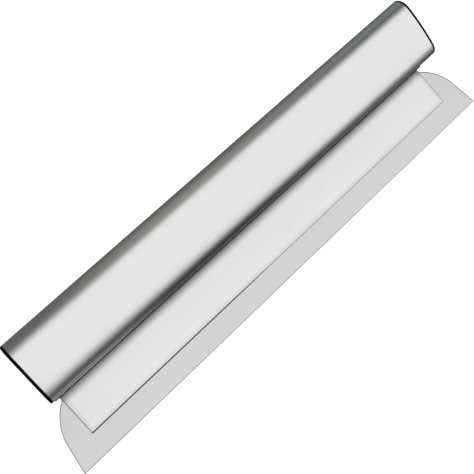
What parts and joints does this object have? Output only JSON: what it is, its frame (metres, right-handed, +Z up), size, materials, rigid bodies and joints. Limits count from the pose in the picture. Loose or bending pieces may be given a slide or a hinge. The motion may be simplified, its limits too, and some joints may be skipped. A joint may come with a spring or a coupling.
{
  "type": "skimming blade",
  "caption": "Drywall and plaster skimming blade: a thin steel blade and a stiffer backing plate clamped into a hollow extruded handle with moulded end caps.",
  "frame": {"origin": "on the rest plane, halfway along the tool and halfway between the cutting edge and the back of the handle", "axes": "+X along the cutting edge, +Y from the cutting edge to the back of the handle, +Z up from the rest plane to the crown of the handle"},
  "size_m": [0.4, 0.0984, 0.0413],
  "materials": {
    "handle_aluminium": "satin clear anodised extrusion",
    "plate_aluminium": "satin clear anodised sheet",
    "blade_steel": "fine-ground stainless spring steel",
    "bar_aluminium": "satin clear anodised flat bar",
    "strip_steel": "zinc plated",
    "clamp_screw_steel": "turned stainless",
    "cap_screw_steel": "zinc plated",
    "cap_plastic": "fine-textured black moulding",
    "seal_rubber": "matt black"
  },
  "bodies": {
    "root": {"handle_profile": "handle_aluminium", "backing_plate": "plate_aluminium", "blade": "blade_steel", "clamp_bar": "bar_aluminium", "nut_strip": "strip_steel", "jaw_seal": "seal_rubber", "end_cap_left": "cap_plastic", "end_cap_right": "cap_plastic", "clamp_screw_1": "clamp_screw_steel", "clamp_screw_2": "clamp_screw_steel", "clamp_screw_3": "clamp_screw_steel", "clamp_screw_4": "clamp_screw_steel", "clamp_screw_5": "clamp_screw_steel", "clamp_screw_6": "clamp_screw_steel", "clamp_screw_7": "clamp_screw_steel", "clamp_screw_8": "clamp_screw_steel", "cap_screw_left_front": "cap_screw_steel", "cap_screw_left_rear": "cap_screw_steel", "cap_screw_right_front": "cap_screw_steel", "cap_screw_right_rear": "cap_screw_steel"}
  },
  "joints": []
}
